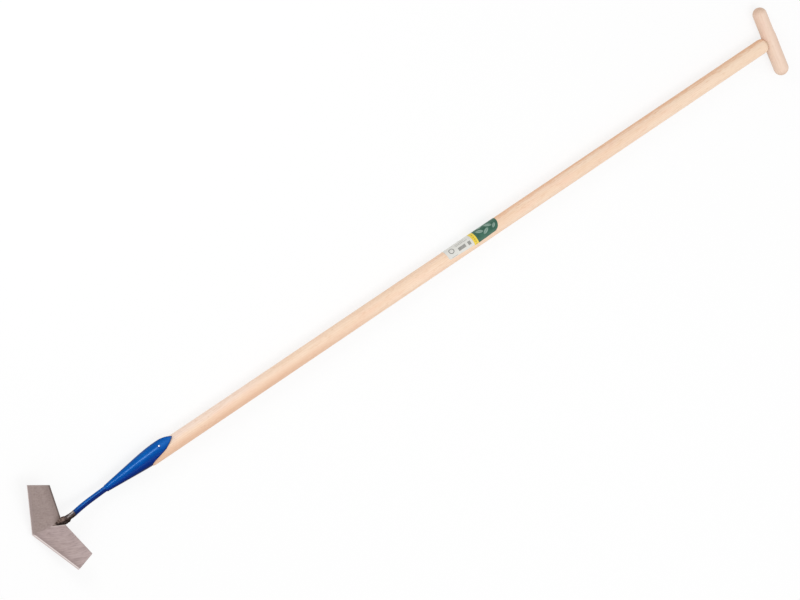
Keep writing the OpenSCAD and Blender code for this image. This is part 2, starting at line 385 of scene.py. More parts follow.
# Gloss paint on steel, with a fine ripple and small specks
def bluePaint(name, look):
    paint = Paint(name)
    ripple, cloud, speck = (paint.noise(*look[key]) for key in ("ripple", "cloud", "speck"))
    # painted shade: the blue is darker on the lower side and towards both far edges, laid by the angle round
    # the piece's axis
    x, y, z = paint.split(paint.place)
    t = x + socketLen * mm
    leanY, leanZ, bow = look["axis"]
    around = (y - t * leanY).math("ARCTAN2", z - t * leanZ - t * t * bow)
    sides = dict.fromkeys(("lowerSideShade", "low", "high", "under"), around)
    base = paint.coat(look["bright"], look, deep=cloud, chip=speck, **sides)
    # painted shade: darker blue along the tongue's edges, by the distance from the edge
    if "edge" in look:
        edgeAway = paint.node("ShaderNodeAttribute", {"attribute_name": "edgeAway"}, output="Fac")
        base = paint.coat(base, look, edge=edgeAway)
    rough, metal = look["rough"] + cloud * look["cloudRough"], 0.0
    if "dull" in look:
        rough = rough + paint.step(x, *look["dull"])
    burn = look.get("burn")
    if burn:
        # bare burnt steel towards the blade, with an uneven edge of scorched paint
        edge = x + (paint.noise(*burn["edge"]) - 0.5) * burn["edgeSway"]
        bare = paint.step(edge, *burn["bareAt"])
        scale, streak = (paint.grain(paint.place, *burn[key]) for key in ("scale", "streak"))
        # painted highlight: pale streaks only on the upper side of the burnt steel, laid by the angle round
        # the neck
        streak = paint.step(streak, *burn["streakAt"]) * paint.within(around, *burn["paleTurn"])
        burnt = paint.blend(streak, paint.ramp(scale, burn["stops"]), burn["pale"])
        # painted shade: the burnt steel goes near black on the lower side
        burnt = paint.coat(burnt, burn, soot=around)
        base = paint.blend(bare, paint.coat(base, burn, scorch=edge), burnt)
        rough = rough * (1 - bare) + (burn["rough"] + scale * burn["scaleRough"]) * bare
        metal = bare * burn["metal"]
        ripple = ripple * (1 - bare) + scale * bare * burn["crust"]
    return paint.finish(base, rough, look["gloss"], ripple, look["relief"], metal)


blueTones = {
    "ripple": (420, 2, 0.5), "cloud": (46, 3, 0.55), "speck": (900, 2, 0.6), "bright": tint(0, 96, 184),
    "deep": (tint(0, 84, 170), 0.3, 0.75), "chip": (tint(6, 58, 124), 0.72, 0.78, 0.25),
    # painted shade: this line and the next darken the blue by the angle round the axis, most on the lower
    # side
    "lowerSideShade": (tint(0, 44, 130), 0.75, -0.25), "low": (tint(0, 19, 72), -0.1, -0.9),
    "high": (tint(0, 70, 140), 1.1, 1.8), "under": (tint(0, 70, 140), -1.3, -2.5),
    "gloss": 0.05, "rough": 0.2, "cloudRough": 0.08, "relief": (0.00001, 0.6),
}
lean = tan(radians(socketShape["lean"]))
leanTurn = radians(socketShape["leanTurn"])
socketAxis = (lean * sin(leanTurn), lean * cos(leanTurn), 0)
beadBlue = bluePaint("beadBlue", {**blueTones, "axis": socketAxis})
# painted shade: a darker copy of the blue paint for the sheet's cut edges
shadedRimBlue = bluePaint("cutEdgeBlue", {
    **blueTones, "axis": (0, 0, 0), "bright": tint(3, 24, 78), "deep": (tint(2, 16, 56), 0.3, 0.75),
    "lowerSideShade": (tint(2, 14, 52), 0.75, -0.25), "low": (tint(3, 10, 38), -0.1, -0.9),
})
socketBlue = bluePaint("socketBlue", {
    # the edge tone is painted shade along the tongue's edges
    **blueTones, "axis": socketAxis, "edge": (tint(2, 14, 54), 1.9, 0.2, 0.85), "dull": (-0.034, -0.022, 0.3),
})


def makeSocket():
    s = socketShape
    n, tongueFrom = s["columns"], socketLen - s["filletFrom"]
    fillet = s["filletTo"] - s["filletFrom"]
    stations = spread(0, socketLen - s["filletTo"], s["coneStep"])
    stations += [tongueFrom - fillet * cos(radians(a)) for a in s["filletTurns"]]
    stations += spread(tongueFrom + s["leafStep"], socketLen - s["tipLen"], s["leafStep"])
    tipShares = [(1 - i / s["tipRows"]) ** s["tipCrowd"] for i in range(1, s["tipRows"] + 1)]
    stations += [socketLen - s["tipLen"] * share for share in tipShares]
    outer, inner, edgeAway = [], [], []
    for t in stations:
        half, r = sheetHalfTurn(t), socketRadius(t)
        outerRow, innerRow, away = [], [], []
        for j in range(n + 1):
            share = 2 * j / n - 1
            turn = s["tongueTurn"] + half * share
            a = radians(turn)
            bump = wander(t / s["dentLen"], s["dentTurns"] * sin(a), s["dentTurns"] * cos(a), s["seed"])
            dent = s["dent"] * bump - s["dent"]
            outerRow.append(onSocket(t, turn, r + dent))
            innerRow.append(onSocket(t, turn, r + dent - s["sheet"]))
            onTongue = t > socketLen - s["filletTo"]
            away.append(radians(half) * r * (1 - abs(share)) if onTongue else s["noEdge"])
        outer.append(outerRow)
        inner.append(innerRow)
        edgeAway += away + away[::-1]
    points, faces = sheetBody(outer, inner)
    obj = addPiece("socket_sheet", points, faces, [socketBlue, shadedRimBlue], sharp=40)
    # distance from the tongue's edge, which lays the painted shade along it
    obj.data.attributes.new("edgeAway", "FLOAT", "POINT").data.foreach_set("value", edgeAway)
    toSocket = socketFrame.inverted()
    for face in obj.data.polygons:
        # the cut edges are the narrow strips, square to the wall, and take a darker blue as painted shade
        middle = toSocket @ (face.center / mm)
        wall = Vector((0, middle.y, middle.z)).normalized()
        leant = abs((toSocket.to_3x3() @ face.normal).dot(wall))
        face.material_index = 1 if leant < s["rimLean"] else 0
    roundEdges(obj, s["rim"], segments=2, angle=50, harden=False)
    soften(obj.data, sharp=50)
    standFor(obj, "socket")


makeSocket()

# Nail through the tongue
nailShape = {
    "back": 28, "turn": 42, "sides": 40, "uneven": 0.03, "seed": 5,
    "profile": [(0, -21.5), (0.5, -20.5), (1.4, -17), (1.4, -0.4), (2.42, -0.4), (2.5, -0.1), (2.5, 0.35),
                (2.36, 0.75), (2.0, 1.1), (1.45, 1.37), (0.8, 1.53), (0, 1.58)],
}
nailLook = {
    # painted highlight: the near-white top of the head
    "highlightAt": (0.0019, 0.00114), "ragged": (1500, 3, 0.6), "raggedDepth": 0.0012, "cloud": (700, 2, 0.5),
    "steel": tint(236, 236, 240), "bright": tint(6, 84, 172), "deep": tint(3, 60, 140),
}


def nailPaint(name, look, top):
    # painted highlight: a near-white steel tone on top of the head, with a ragged edge into the blue paint
    paint = Paint(name)
    head = paint.mapped(paint.place, Location=tuple(-c for c in top))
    away = paint.node("ShaderNodeVectorMath", {"operation": "LENGTH"}, {0: head}, 1)
    ragged = away + (paint.noise(*look["ragged"]) - 0.5) * look["raggedDepth"]
    overlay, cloud = paint.step(ragged, *look["highlightAt"]), paint.noise(*look["cloud"])
    tone = paint.blend(overlay, paint.blend(cloud, look["bright"], look["deep"]), look["steel"])
    rough = 0.26 + cloud * 0.15
    return paint.finish(tone, rough, gloss=0.3, height=cloud, relief=(0.00008, 0.5), metal=overlay * 0.55)


def makeNail():
    s = nailShape
    t = socketLen - s["back"]
    nailFrame = (
        socketFrame @ Matrix.Translation((t, 0, 0)) @ turnedBy(-s["turn"], "X")
        @ Matrix.Translation((0, 0, socketRadius(t)))
    )
    top = nailFrame @ Vector((0, 0, s["profile"][-1][1]))
    finish = nailPaint("wornNail", nailLook, top * mm)
    points, faces = turned(s["profile"], s["sides"], nailFrame, s["uneven"], s["seed"])
    standFor(addPiece("nail", points, faces, [finish], sharp=50), "socket_nail")


makeNail()

# Neck: a round rod swept along its bends by geometry nodes
neckShape = {
    "rodD": 10, "insert": 6, "lead": 5, "bends": [(6.5, 60, 25.5), (13, 120, 7)], "lastR": 25,
    "foldTilt": 20.7, "pointLen": 15, "pointD": 3, "pointAt": 62, "seat": 2.5,
    "sides": 40, "pathStep": 0.6, "dent": 0.12, "dentScale": 130.0, "dentSink": 0.62,
}
neckBlue = bluePaint("neckBlue", {
    # painted shade: a deeper blue on the lower side of the neck
    **blueTones, "rough": 0.23, "lowerSideShade": (tint(0, 34, 110), 1.15, 0.05), "axis": (0, 0, 2.33),
    "burn": {
        "edge": (210, 3, 0.6), "edgeSway": 0.006, "bareAt": (-0.2043, -0.2067),
        "scorch": (tint(16, 34, 66), -0.1965, -0.2055, 0.75), "soot": (tint(28, 20, 17), 0.5, -0.5, 0.85),
        "scale": ((240, 420, 420), 4, 0.65), "streak": ((90, 620, 620), 3, 0.6),
        "stops": [(0.25, tint(30, 23, 20)), (0.5, tint(76, 60, 53)), (0.72, tint(112, 92, 82)),
                  (0.9, tint(150, 130, 120))],
        "pale": tint(178, 162, 152), "streakAt": (0.47, 0.6, 0.85), "paleTurn": (0.5, 1.5, 0.25),
        "rough": 0.5, "scaleRough": 0.25, "metal": 0.1, "crust": 14,
    },
})


def neckPath():
    # points along the neck with their girth, in the plane of the handle and the fold
    s = neckShape
    x, z, heading = -socketLen + s["insert"], 0.0, 0.0
    runs = [(s["insert"] + s["lead"], 0)]  # length and turn
    lastTurn = -sum(bend[0] for bend in s["bends"]) - s["foldTilt"]
    for turn, r, run in s["bends"] + [(lastTurn, s["lastR"], s["pointLen"])]:
        runs += [(radians(abs(turn)) * r, turn), (run, 0)]
    steps = [(x, z, 1.0)]
    for index, (length, turn) in enumerate(runs):
        count = max(2, ceil(length / s["pathStep"]))
        last = index == len(runs) - 1
        for i in range(1, count + 1):
            heading += turn / count
            middle = radians(heading - turn / count / 2)
            x -= length / count * cos(middle)
            z += length / count * sin(middle)
            steps.append((x, z, 1 - (1 - s["pointD"] / s["rodD"]) * i / count if last else 1.0))
    return steps


neckSteps = neckPath()
tipX, tipZ = neckSteps[-1][:2]
tilt = radians(neckShape["foldTilt"])
pointX = tipX + neckShape["pointLen"] * cos(tilt)
pointZ = tipZ + neckShape["pointLen"] * sin(tilt)
bladeFrame = (
    Matrix.Translation((pointX, 0, pointZ)) @ Matrix.Rotation(-tilt, 4, "Y")
    @ Matrix.Translation((-neckShape["pointAt"], 0, neckShape["seat"]))
)  # fold along X, upper side at zero


# A geometry tree with named inputs, which a modifier takes by their identifiers
class ShapeTree(Graph):
    def __init__(self, name, wanted):
        super().__init__(bpy.data.node_groups.new(name, "GeometryNodeTree"))
        self.addSocket("Geometry", "INPUT", "Geometry")
        self.ids = {key: self.addSocket(key, "INPUT", kind).identifier for key, kind in wanted.items()}
        self.addSocket("Geometry", "OUTPUT", "Geometry")

    def addSocket(self, name, way, kind):
        return self.tree.interface.new_socket(name, in_out=way, socket_type="NodeSocket" + kind)

    def given(self, name):
        return self.node("NodeGroupInput", output=name)

    def path(self):
        return self.node("GeometryNodeMeshToCurve", None, {"Mesh": self.given("Geometry")})

    def close(self, shape):
        whole = self.node("GeometryNodeRealizeInstances", None, {"Geometry": shape})
        done = {"Geometry": whole, "Material": self.given("Finish")}
        self.node("NodeGroupOutput", None, {"Geometry": self.node("GeometryNodeSetMaterial", None, done)})

    def run(self, obj, values):
        modifier = obj.modifiers.new(self.tree.name, "NODES")
        modifier.node_group = self.tree
        for name, value in values.items():
            modifier[self.ids[name]] = value
        settle(obj)


def neckTree(s):
    tree = ShapeTree("neckSweep", {"Radius": "Float", "Sides": "Int", "Dent": "Float", "Finish": "Material"})
    girth = tree.node("GeometryNodeInputNamedAttribute", {"data_type": "FLOAT"}, {"Name": "girth"})
    hoop = tree.node("GeometryNodeCurvePrimitiveCircle", None, {
        "Resolution": tree.given("Sides"), "Radius": tree.given("Radius"),
    })
    rod = tree.node("GeometryNodeCurveToMesh", None, {
        "Curve": tree.path(), "Profile Curve": hoop, "Scale": girth, "Fill Caps": True,
    })
    rough = tree.node("ShaderNodeTexNoise", None, {"Scale": s["dentScale"], "Detail": 2.0}, "Fac")
    depth = (rough - s["dentSink"]) * tree.given("Dent")
    normal = tree.node("GeometryNodeInputNormal")
    offset = tree.node("ShaderNodeVectorMath", {"operation": "SCALE"}, {0: normal, "Scale": depth})
    tree.close(tree.node("GeometryNodeSetPosition", None, {"Geometry": rod, "Offset": offset}))
    return tree


def lineObject(name, points):
    mesh = bpy.data.meshes.new(name)
    mesh.from_pydata([Vector(p) * mm for p in points], [(i, i + 1) for i in range(len(points) - 1)], [])
    return addObject(name, mesh)


def makeNeck():
    s = neckShape
    obj = lineObject("neck_rod", [(x, 0, z) for x, z, girth in neckSteps])
    girths = obj.data.attributes.new("girth", "FLOAT", "POINT")
    girths.data.foreach_set("value", [girth for x, z, girth in neckSteps])
    neckTree(s).run(obj, {
        "Radius": s["rodD"] / 2 * mm, "Sides": s["sides"], "Dent": s["dent"] * mm, "Finish": neckBlue,
    })
    outward(obj.data)
    soften(obj.data, sharp=50)
    standFor(obj, "neck")


makeNeck()

# Welds: rows of overlapping drops along a line, run together into one skin
weldShape = {
    "voxel": 0.42, "ringVoxel": 0.336, "flow": 0.5, "flowRounds": 3, "dropSizes": (0.75, 1.15), "seed": 11,
    "ring": [(-1.2, -5), (0.35, -5), (1.3, -0.3), (1.05, 0.6), (-1.2, 0.6)],  # past the rod, from the joint
    "ringAt": -2.4, "ringOut": 0.35, "ringSides": 48, "ringStep": 0.1, "ringDrops": 30, "ringDrop": 1.25,
    "seat": [(-0.4, 0.3), (0.5, 1.5), (0.9, 4.95), (0.2, 9.9), (-2.4, 17), (-4.1, 22)],
    "seatSides": 40, "seatUneven": 0.12, "seatSeed": 7, "seatDrops": 15, "seatDrop": 1.5,
    "flank": [(0.8, 4.6, 1.0), (1.1, 4.8, 6.0), (0.9, 3.4, 11.25), (0.8, 1.6, 17.5)],  # up, aside, ahead
    "lump": [(-217.5, -5.0, 12.0), (-221.5, -6.6, 10.6), (-225.0, -7.4, 9.0), (-229.0, -6.2, 7.2)],
    "lumpDrops": 8, "lumpDrop": 2.6,
    "notchAt": 36, "notchAngle": 40.8, "notchTip": 0.05, "fillLen": 16.5, "fillTop": -0.3, "fillLow": -2.7,
}
weldLook = {
    "scale": (320, 4, 0.65), "crust": (900, 3, 0.6), "shadeBelowSway": 0.003, "cleanSway": 0.004,
    "stops": [(0.3, tint(52, 40, 36)), (0.46, tint(98, 80, 73)), (0.6, tint(142, 121, 113)),
              (0.76, tint(184, 164, 155))],
    # painted shade: the weld goes near black towards the lower side, in the pocket under the neck
    "pale": (tint(206, 188, 180), 0.62, 0.75, 0.5), "soot": (tint(20, 13, 12), 0.0028, -0.0012, 0.85),
    "clean": (tint(158, 140, 134), -0.2385, -0.2425, 0.9),
}


def weldPaint(name, look):
    # burnt scale, with painted shade on the lower side and cleaner at the far end
    paint = Paint(name)
    x, y, z = paint.split(paint.place)
    scale, crust = paint.noise(*look["scale"]), paint.noise(*look["crust"])
    shadedBelow, clean = (v + (scale - 0.5) * look[key] for v, key in ((y, "shadeBelowSway"), (x, "cleanSway")))
    tone = paint.coat(paint.ramp(scale, look["stops"]), look, pale=crust, soot=shadedBelow, clean=clean)
    rough, height = 0.55 + crust * 0.3, scale + crust * 0.5
    return paint.finish(tone, rough, gloss=0.06, height=height, relief=(0.0002, 0.7), metal=0.12)


def dropTree(s):
    tree = ShapeTree("weldDrops", {"Drops": "Int", "Size": "Float", "Seed": "Int", "Finish": "Material"})
    even = tree.node("GeometryNodeResampleCurve", None, {"Curve": tree.path(), "Count": tree.given("Drops")})
    drop = tree.node("GeometryNodeMeshIcoSphere", None, {"Radius": tree.given("Size"), "Subdivisions": 3})
    least, most = ((share,) * 3 for share in s["dropSizes"])
    size = tree.node("FunctionNodeRandomValue", {"data_type": "FLOAT_VECTOR"}, {
        0: least, 1: most, "Seed": tree.given("Seed"),
    })
    row = {"Points": even, "Instance": drop, "Scale": size}
    tree.close(tree.node("GeometryNodeInstanceOnPoints", None, row))
    return tree


dropRows = dropTree(weldShape)
burntWeld = weldPaint("burntWeld", weldLook)


def runTogether(name, body, lines, material, voxel):
    # the body and its rows of drops become one closed skin
    s = weldShape
    obj = addPiece(name, *body, [material], sharp=180)
    shape = bmesh.new()
    shape.from_mesh(obj.data)
    for index, (line, drops, size) in enumerate(lines):
        row = lineObject(name + "_row" + str(index), line)
        dropRows.run(row, {"Drops": drops, "Size": size * mm, "Seed": s["seed"] + index, "Finish": material})
        shape.from_mesh(row.data)
        bpy.data.objects.remove(row)
    shape.to_mesh(obj.data)
    shape.free()
    skin = obj.modifiers.new("skin", "REMESH")
    skin.mode = "VOXEL"
    skin.voxel_size = voxel * mm
    flow = obj.modifiers.new("flow", "SMOOTH")
    flow.factor = s["flow"]
    flow.iterations = s["flowRounds"]
    settle(obj)
    dress(obj.data, material)
    obj.data.shade_smooth()
    return obj


def notchFill(s):
    # a wedge of weld metal in the notch
    openHalf = s["fillLen"] * tan(radians(s["notchAngle"] / 2))
    plan = [(s["notchAt"], s["notchTip"]), (s["notchAt"] + s["fillLen"], openHalf)]
    points = [bladeFrame @ Vector((x, side * w, level)) for level in (s["fillTop"], s["fillLow"])
              for x, w in plan for side in (1, -1)]
    return points, [(0, 1, 3, 2), (4, 6, 7, 5), (0, 2, 6, 4), (1, 5, 7, 3), (0, 4, 5, 1), (2, 3, 7, 6)]


def makeWelds():
    s = weldShape
    joint, rodR = -socketLen, neckShape["rodD"] / 2
    # ring under the paint, between the neck and the socket's small end
    ringBody = turned([(rodR + r, joint + h) for r, h in s["ring"]], s["ringSides"], turnedBy(90, "Y"))
    ringR = rodR + s["ringOut"]
    ringTurns = spread(0, 2 * pi, s["ringStep"])
    ring = [(joint + s["ringAt"], ringR * sin(a), ringR * cos(a)) for a in ringTurns]
    ringRow = (ring, s["ringDrops"], s["ringDrop"])
    obj = runTogether("socket_bead", ringBody, [ringRow], beadBlue, s["ringVoxel"])
    standFor(obj, "socket_weld")
    # bead that fills the notch round the neck's point
    seat = Matrix.Translation((pointX, 0, pointZ)) @ Matrix.Rotation(-tilt - radians(90), 4, "Y")
    profile = [(rodR + r, h) for r, h in s["seat"]]
    points, faces = turned(profile, s["seatSides"], seat, s["seatUneven"], s["seatSeed"])
    fillPoints, fillFaces = notchFill(s)
    faces += [tuple(len(points) + i for i in face) for face in fillFaces]
    points += fillPoints
    rows = []
    for side in (1, -1):
        flank = [seat @ Vector((up, side * aside, ahead)) for up, aside, ahead in s["flank"]]
        rows.append((flank, s["seatDrops"], s["seatDrop"]))
    rows.append((s["lump"], s["lumpDrops"], s["lumpDrop"]))
    obj = runTogether("blade_bead", (points, faces), rows, burntWeld, s["voxel"])
    standFor(obj, "blade_weld")


makeWelds()

# Blade: the folded plate with softened corners, a rounded fold and bright ground edges
bladeShape = {
    "foldRound": 5, "foldSegments": 6, "foldTurn": (5, 30), "bevelTurn": (12, 45),
    "edgeRound": 0.35, "edgeTurn": 20, "sweep": radians(23.5),
    "backEdge": (0.0544, radians(12.6)), "notch": (0.036, radians(20.4)),
}
plateLook = {
    "lowerFrom": (0.005, -0.006), "arcMiddle": (-0.195, 0.105), "mottle": (290, 5, 0.66),
    "cloud": (34, 2, 0.5), "lines": ((900, 9, 40), 3, 0.65), "swirl": ((480, 9, 20), 3, 0.6),
    # painted shade: the upper wing takes a darker tone than the lower one, for the light that falls on them
    # differently
    "upper": tint(160, 143, 138), "lower": tint(181, 162, 160),
    "coats": {
        "warm": (tint(168, 149, 142), 0.35, 0.75, 0.4, 0.4),
        "spot": (tint(132, 115, 112), 0.46, 0.68, 0.52, 0.16),
        "scratch": (tint(196, 180, 178), 0.5, 0.68, 0.1, 0.45),
        "groove": (tint(140, 123, 122), 0.5, 0.34, 0.15, 0.5),
        "line": (tint(196, 180, 178), 0.5, 0.72, 0.2, 0.2),
        # painted shade: the upper wing darkened along its rear edge, in a thin dark band and a wider soft
        # fall-off
        "rearEdgeShade": (tint(66, 55, 52), 0.0028, 0.0012, 0.9, 0),
        "rearShade": (tint(126, 110, 105), 0.016, 0.001, 0.5, 0),
        "front": (tint(152, 134, 131), 0.012, 0.005, 0, 0.6),
        "heat": (tint(88, 72, 64), 0.021, 0.004, 0.85, 0.15),
    },  # tone, its step, and its depth on the upper and on the lower wing
    "rearEdgeShadeSway": 0.0012, "heatMiddle": (-0.224, 0.0), "heatSway": 0.006,
    # painted highlight along the lower wing's edge at the notch
    "rim": tint(214, 200, 194), "notchHighlightAt": (0.0018, 0.0008, 0.85), "notchHighlightSoft": 0.003,
}
edgeLook = {
    "lowerFrom": (0.003, -0.004), "edgeWay": (0.4, 0.917), "cloud": (90, 2, 0.5),
    "marks": ((1700, 250, 5), 3, 0.6), "light": tint(226, 211, 208), "plate": tint(156, 138, 134),
    "mark": (tint(198, 181, 178), 0.35, 0.75), "warm": (tint(212, 194, 190), 0.45, 0.8, 0.4),
    "bright": (0.0007, 0.004), "brightSoft": 0.0009, "brightSway": 0.001, "brightDepth": 0.9,
    "burnish": tint(252, 243, 240), "burnishAt": (0.0026, 0.0036, 0.0004), "burnishDepth": 0.9,
}


def bladePlace(paint, lowerFrom):
    # along the fold from the apex, away from the fold, behind the front edge, and which wing
    x, y, z = paint.split(paint.place)
    apex, sweep = bladeFrame.translation * mm, bladeShape["sweep"]
    along = (x - apex.x) * cos(tilt) + (z - apex.z) * sin(tilt)
    side = y.math("ABSOLUTE")
    return along, side, along * cos(sweep) - side * sin(sweep), paint.step(y, *lowerFrom)


def steelPaint(name, look):
    # two wings ground along wide arcs, tinted by heat towards the notch
    paint = Paint(name)
    x, y, z = paint.split(paint.place)
    along, side, toFront, lower = bladePlace(paint, look["lowerFrom"])

    def reach(middle):
        return x - middle[0], y - middle[1], ((x - middle[0]) ** 2 + (y - middle[1]) ** 2) ** 0.5

    arcX, arcY, arcR = reach(look["arcMiddle"])
    arc = paint.join(arcR, arcY.math("ARCTAN2", arcX), z)
    lines, swirl = paint.grain(arc, *look["lines"]), paint.grain(arc, *look["swirl"])
    mottle, cloud = paint.noise(*look["mottle"]), paint.noise(*look["cloud"])
    backX, backTurn = bladeShape["backEdge"]
    toBack = (backX - along) * cos(backTurn) + side * sin(backTurn)
    values = {
        "warm": cloud, "spot": mottle, "scratch": swirl, "groove": swirl, "line": lines,
        "rearEdgeShade": toBack + (mottle - 0.5) * look["rearEdgeShadeSway"], "rearShade": toBack, "front": toFront,
        "heat": reach(look["heatMiddle"])[2] + (mottle - 0.5) * look["heatSway"],
    }
    # painted shade: the upper wing darker than the lower wing
    tone = paint.blend(lower, look["upper"], look["lower"])
    for key, value in values.items():
        colour, start, full, above, below = look["coats"][key]
        mask = paint.step(value, start, full)
        tone = paint.blend(mask * (above + lower * (below - above)), tone, colour)
    rough = 0.48 + mottle * 0.16 + mask * 0.15  # the last mask is the heat's
    # painted highlight: a bright rim on the lower wing along the edge of the notch
    notchAt, notchTurn = bladeShape["notch"]
    toNotch = side * cos(notchTurn) - (along - notchAt) * sin(notchTurn)
    rim = paint.step(toNotch, *look["notchHighlightAt"]) * paint.step(along, notchAt - look["notchHighlightSoft"], notchAt)
    tone = paint.blend(rim * lower, tone, look["rim"])
    height = lines * 0.7 + mottle * 0.5
    return paint.finish(tone, rough, gloss=0.3, height=height, relief=(0.00005, 0.5), metal=0.3)


def edgePaint(name, look):
    # the fresh ground bevel, with marks across the edge
    paint = Paint(name)
    along, side, toFront, lower = bladePlace(paint, look["lowerFrom"])
    edgeWay = along * look["edgeWay"][0] + side * look["edgeWay"][1]
    marks = paint.grain(paint.join(edgeWay, toFront, lower), *look["marks"])
    cloud = paint.noise(*look["cloud"])
    tone = paint.coat(look["light"], look, mark=marks, warm=cloud)
    # the upper wing is worn back to its outer rim, the lower one is bright over the whole bevel
    upperRim, lowerRim = look["bright"]
    rim = upperRim + lower * (lowerRim - upperRim)
    overlay = toFront + (cloud - 0.5) * look["brightSway"]
    overlay = paint.step(overlay, rim, rim + look["brightSoft"], look["brightDepth"])
    tone = paint.blend(overlay, tone, look["plate"])
    burnish = paint.within(toFront, *look["burnishAt"]) * lower * look["burnishDepth"]
    tone = paint.blend(burnish, tone, look["burnish"])
    rough = 0.34 + marks * 0.2
    return paint.finish(tone, rough, gloss=0.4, height=marks, relief=(0.00004, 0.5), metal=0.3)


def makeBlade():
    s = bladeShape
    mesh = cadNodes["blade"].data.copy()
    mesh.name = "blade_plate"
    dress(mesh, steelPaint("groundBlade", plateLook), edgePaint("groundEdge", edgeLook))
    shape = bmesh.new()
    shape.from_mesh(mesh)
    bmesh.ops.remove_doubles(shape, verts=shape.verts, dist=mergeDist)
    bmesh.ops.dissolve_limit(shape, angle_limit=radians(1), verts=shape.verts, edges=shape.edges)
    shape.normal_update()
    least, most = s["foldTurn"]
    fold = [e for e in shape.edges if all(abs(v.co.y) < 0.01 * mm for v in e.verts)
            and len(e.link_faces) == 2 and least < degrees(e.calc_face_angle()) < most]
    bmesh.ops.bevel(shape, geom=fold, offset=s["foldRound"] * mm, segments=s["foldSegments"], profile=0.5,
                    affect="EDGES", clamp_overlap=True)
    shape.normal_update()
    flat = Vector((-sin(tilt), 0, cos(tilt)))
    least, most = s["bevelTurn"]
    for face in shape.faces:
        slope = degrees(face.normal.angle(flat))
        face.material_index = 1 if least < slope < most else 0
    shape.to_mesh(mesh)
    shape.free()
    mesh.shade_smooth()
    obj = addObject("blade_plate", mesh)
    roundEdges(obj, s["edgeRound"], segments=3, angle=s["edgeTurn"], harden=True)
    standFor(obj, "blade")


makeBlade()


# Pale sanded wood, with the grain along one axis of the object
def woodPaint(name, look):
    paint = Paint(name)
    x, y, z = paint.split(paint.place)
    along, across = (x, y) if look["grain"] == "x" else (y, x - look["middle"])
    rope = paint.join(along, across, z)
    grains = ("broad", "cloud", "sway", "fibre", "ray", "fleck")
    broad, cloud, sway, fibre, ray, fleck = (paint.grain(rope, *look[key]) for key in grains)
    fleck = paint.step(fleck, *look["fleckAt"])
    fromPith = ((across + look["pith"][0]) ** 2 + (z + look["pith"][1]) ** 2) ** 0.5
    ring = (fromPith * look["rings"] + sway * look["swayDepth"]).math("FRACT")
    late = paint.step(ring, *look["lateFrom"]) * paint.step(ring, *look["lateTo"])
    base = paint.coat(look["light"], look, deep=broad, blush=cloud)
    # painted light and shade: paler bands towards both ends and deeper orange bands on the lower and the
    # upper side, laid by the angle round the pole and the place along it
    broadSway, raySway = look["lightAndShadeSway"]
    around = across.math("ARCTAN2", z) + (broad - 0.5) * broadSway + (ray - 0.5) * raySway
    for *ends, mask, tone in look["lightAndShadeBands"]:
        for value, end in zip((around, around, along, along), ends):
            mask = paint.step(value, *end) * mask
        base = paint.blend(mask, base, tone)
    # a darker band at the ends: end grain at the grip's ends, and painted shade on the handle's shoulder
    # where it meets the crossbar
    low, high, soft = look["endGrainAndJointShade"]
    end = paint.step(along, high - soft, high) + paint.step(along, low + soft, low)
    pores = paint.step(paint.noise(*look["pores"]), *look["poresAt"])
    masks = [
        (late * look["ringDepth"], "line"),
        (paint.step(ray, *look["rayDark"]) * look["rayDepth"], "line"),
        (paint.step(ray, *look["rayLight"]) * look["rayDepth"], "light"),
        (fleck * look["fleckDepth"], "dark"),
        ((fibre - 0.5).math("ABSOLUTE") * look["fibreDepth"], "line"),
        (end * (look["endDepth"] + pores), "endTone"),
    ]
    for mask, tone in masks:
        base = paint.blend(mask, base, look[tone])
    height = fibre * 0.5 - fleck * 0.8 + late * 0.25
    rough = 0.58 + fibre * 0.16 + fleck * 0.1
    return paint.finish(base, rough, gloss=0.28, height=height, relief=(0.00012, 0.55))


woodGrain = {
    "broad": ((5, 95, 95), 3, 0.55), "cloud": ((22, 60, 60), 2, 0.5), "sway": ((3.2, 20, 20), 2, 0.5),
    "fibre": ((32, 2300, 2300), 2, 0.6), "ray": ((70, 480, 480), 3, 0.6), "fleck": ((95, 1250, 1250), 2, 0.6),
    "fleckAt": (0.66, 0.74), "swayDepth": 2.2, "lateFrom": (0.45, 0.92), "lateTo": (1.0, 0.93),
    "lightAndShadeSway": (0.6, 1.1), "rayDark": (0.52, 0.72), "rayLight": (0.46, 0.3),
    "fibreDepth": 0.5, "pores": (700, 2, 0.5), "poresAt": (0.52, 0.68, 0.3), "endDepth": 0.35,
}

